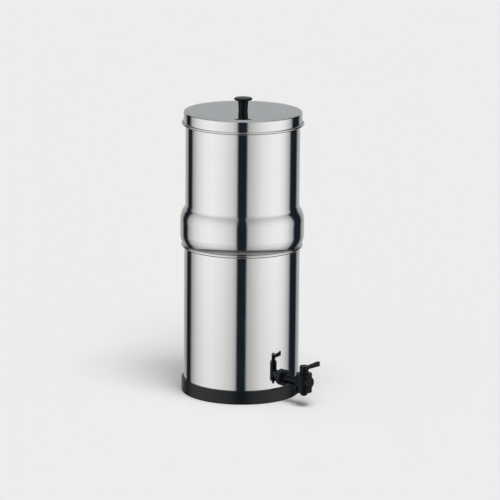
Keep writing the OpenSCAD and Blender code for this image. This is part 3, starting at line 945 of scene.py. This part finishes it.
def candle_base_mesh(side):
    """End cap with a cup for the ceramic, and a threaded stem with a water way down it."""
    top = CAP_Z + CAP_H
    cup_z = top - CUP_DEPTH
    cap = turned([
        (STEM_BORE, CAP_Z),
        *arc(CAP_R - CAP_LOW_ROUND, CAP_Z + CAP_LOW_ROUND, CAP_LOW_ROUND, -90, 0, 15),
        *arc(CAP_R - CAP_TOP_ROUND, top - CAP_TOP_ROUND, CAP_TOP_ROUND, 0, 90, 18),
        *arc(CANDLE_SEAT_R + CAP_LIP, top - CAP_LIP, CAP_LIP, 90, 180, 30),
        (CANDLE_SEAT_R, cup_z),
        (STEM_BORE, cup_z),
    ], closed=True)
    stem_top = CAP_Z + STEM_SINK
    stem = shifted(threaded(STEM_R, STEM_PITCH, stem_top - STEM_LOW_Z), z=STEM_LOW_Z)
    bore = turned(bar_outline(STEM_BORE, STEM_LOW_Z - TOOL_OVER, stem_top + TOOL_OVER), STEM_BORE_ROUND)
    return shifted(joined(cap, carved(stem, bore)), side * CANDLE_X)


# ---------------------------------------------------------------- tap

def tap_moulding_mesh():
    """Flange, barrel, upright valve housing, front boss and spout, melted into one."""
    reach = TAP_D - FLANGE_D
    rounded = arc(FLANGE_R - FLANGE_ROUND, FLANGE_T - FLANGE_ROUND, FLANGE_ROUND, 0, 90, 15)
    flange = turned([(0, 0), (FLANGE_R, 0), *rounded, (0, FLANGE_T)], MIDDLE_ROUND)
    barrel = turned([(0, 0), (BARREL_ROOT_R, 0), (BARREL_R, reach), (0, reach)])
    housing = turned(bar_outline(BODY_R, BODY_LOW_Z, BODY_TOP_Z, BODY_ROUND), MIDDLE_ROUND)
    boss = turned(bar_outline(BOSS_R, 0, BODY_R + BOSS_OUT, BOSS_ROUND))
    spout = turned(bar_outline(SPOUT_R, BODY_LOW_Z - SPOUT_DROP, BODY_LOW_Z + SPOUT_ROOT, SPOUT_ROUND))
    parts = joined(along_tap(flange, FLANGE_D), along_tap(barrel, FLANGE_D), on_tap(housing),
                   along_tap(boss, TAP_D, BOSS_RISE), on_tap(spout))
    return melted(parts, voxel=0.3, keep=0.35)


def tap_body_mesh():
    """Moulded body with a bored spout and a mouth for the bonnet, on a threaded shank with a water way."""
    spout_low = BODY_LOW_Z - SPOUT_DROP - TOOL_OVER
    spout_bore = turned(bar_outline(SPOUT_BORE, spout_low, BODY_LOW_Z + SPOUT_BORE_RISE), BORE_ROUND)
    mouth = turned(bar_outline(BONNET_R + BONNET_PLAY, BONNET_Z, BODY_TOP_Z + TOOL_OVER))
    length = FLANGE_D - SHANK_D
    shank = threaded(SHANK_R, SHANK_PITCH, length + SHANK_SINK)
    way = turned(bar_outline(WAY_R, -TOOL_OVER, length - WAY_STOP), BORE_ROUND)
    return joined(carved(tap_moulding_mesh(), on_tap(spout_bore), on_tap(mouth)),
                  carved(along_tap(shank, SHANK_D), along_tap(way, SHANK_D)))


def tap_bonnet_mesh():
    """Bonnet that closes the housing, with a stepped neck round the plug's stem."""
    step_z = (BODY_TOP_Z + NECK_TOP_Z) / 2
    step_r = NECK_R - NECK_STEP
    return on_tap(turned([
        (PIVOT_R, BONNET_Z),
        (BONNET_R, BONNET_Z),
        (BONNET_R, BODY_TOP_Z),
        (NECK_R, BODY_TOP_Z),
        *arc(NECK_R - NECK_LOW_ROUND, step_z - NECK_LOW_ROUND, NECK_LOW_ROUND, 0, 90, 30),
        (step_r, step_z),
        *arc(step_r - NECK_TOP_ROUND, NECK_TOP_Z - NECK_TOP_ROUND, NECK_TOP_ROUND, 0, 90, 30),
        (PIVOT_R, NECK_TOP_Z),
    ], closed=True))


def slab(outline, low, high):
    """Mesh of a flat outline in X and Y, between two heights."""
    count = len(outline)
    points = [(x * MM, y * MM, z * MM) for z in (low, high) for x, y in outline]
    sides = [(i, (i + 1) % count, count + (i + 1) % count, count + i) for i in range(count)]
    mesh = bpy.data.meshes.new("slab")
    mesh.from_pydata(points, [], [tuple(range(count))[::-1], tuple(range(count, 2 * count)), *sides])
    return mesh


def sloped(mesh, under, top):
    """The slab with its underside and its top rising along +X by slopes in degrees."""
    for vertex in mesh.vertices:
        slope = top if vertex.co.z > 0 else under
        vertex.co.z += vertex.co.x * tan(radians(slope))
    return mesh


def lever_arm_mesh():
    """Arm that widens to a round tip, with a shallow thumb groove along its top."""
    tip_x = LEVER_LEN - LEVER_TIP
    tip = arc(tip_x, 0, LEVER_TIP, -LEVER_TIP_TURN, LEVER_TIP_TURN, 8)
    plan = [(0, -LEVER_ROOT), *tip, (0, LEVER_ROOT)]
    arm = sloped(slab(plan, 0, LEVER_T), LEVER_UNDER_SLOPE, LEVER_SLOPE)
    arm = shaped(arm, ("BEVEL", {"width": LEVER_ROUND * MM, "segments": 3}, {}))
    groove_tip = arc(tip_x, 0, GROOVE_TIP, -GROOVE_TIP_TURN, GROOVE_TIP_TURN, 10)
    groove_plan = [(GROOVE_START, -GROOVE_ROOT), *groove_tip, (GROOVE_START, GROOVE_ROOT)]
    groove = slab(groove_plan, LEVER_T - GROOVE_DEPTH, LEVER_T + TOOL_OVER)
    return carved(arm, sloped(groove, LEVER_SLOPE, LEVER_SLOPE))


def tap_lever_mesh():
    """Lever: an arm on a hub that sits on the plug's stem and has a shallow dimple on top."""
    hub = turned(bar_outline(HUB_R, 0, HUB_H, HUB_ROUND))
    lever = melted(joined(hub, shifted(lever_arm_mesh(), z=LEVER_LIFT)), voxel=0.25, keep=0.5)
    dimple = turned(bar_outline(DIMPLE_R, HUB_H - DIMPLE_DEPTH, HUB_H + TOOL_OVER), HOLE_ROUND)
    return on_tap(carved(lever, dimple), HUB_Z)


def lock_nut_mesh():
    """Hexagonal nut with chamfered corners."""
    corner = LOCK_FLATS / sqrt(3)
    face_r = corner - LOCK_CHAMFER_W
    hexagon = turned([(0, 0), (corner, 0), (corner, LOCK_T), (0, LOCK_T)], 6)
    limit = turned([(0, 0), (face_r, 0), (corner, LOCK_CHAMFER_H), (corner, LOCK_T - LOCK_CHAMFER_H),
                    (face_r, LOCK_T), (0, LOCK_T)])
    bore = turned(bar_outline(SHANK_HOLE_R, -TOOL_OVER, LOCK_T + TOOL_OVER), HOLE_ROUND)
    return along_tap(carved(carved(hexagon, limit, operation="INTERSECT"), bore), LOCK_D)


# ---------------------------------------------------------------- the scene

bpy.context.scene.view_settings.view_transform = "Standard"
add_camera()
add_world()
for lamp_name, lamp_place in LAMPS.items():
    add_lamp(lamp_name, *lamp_place)
add_floor()

LOWER, UPPER, LID, TAP = "lower_assembly", "upper_assembly", "lid_assembly", "tap_valve"
add_piece("base_ring", base_ring_mesh(), LOWER, "base_rubber")
add_piece("lower_chamber", lower_chamber_mesh(), LOWER, "polished_steel")
add_piece("upper_chamber", upper_chamber_mesh(), UPPER, "polished_steel")
add_piece("lid", lid_mesh(), LID, "polished_steel")
add_piece("lid_knob", knob_mesh(), LID, "black_plastic")
for side, word in ((-1, "left"), (1, "right")):
    add_piece(f"candle_{word}_base", candle_base_mesh(side), UPPER, "candle_plastic")
add_piece("tap_body", tap_body_mesh(), LOWER, "black_plastic")
add_piece("tap_bonnet", tap_bonnet_mesh(), LOWER, "black_plastic")
add_piece("tap_lock_nut", lock_nut_mesh(), LOWER, "black_plastic")
add_piece("tap_lever", tap_lever_mesh(), TAP, "black_plastic")

# Every CAD node gets the finish of its slot, also those that a piece stands for
for subpart in frame["record"]["subparts"]:
    node_mesh = frame["nodes"][subpart["node"]].data
    node_mesh.materials.clear()
    node_mesh.materials.append(FINISHES[subpart["material_slot"]])
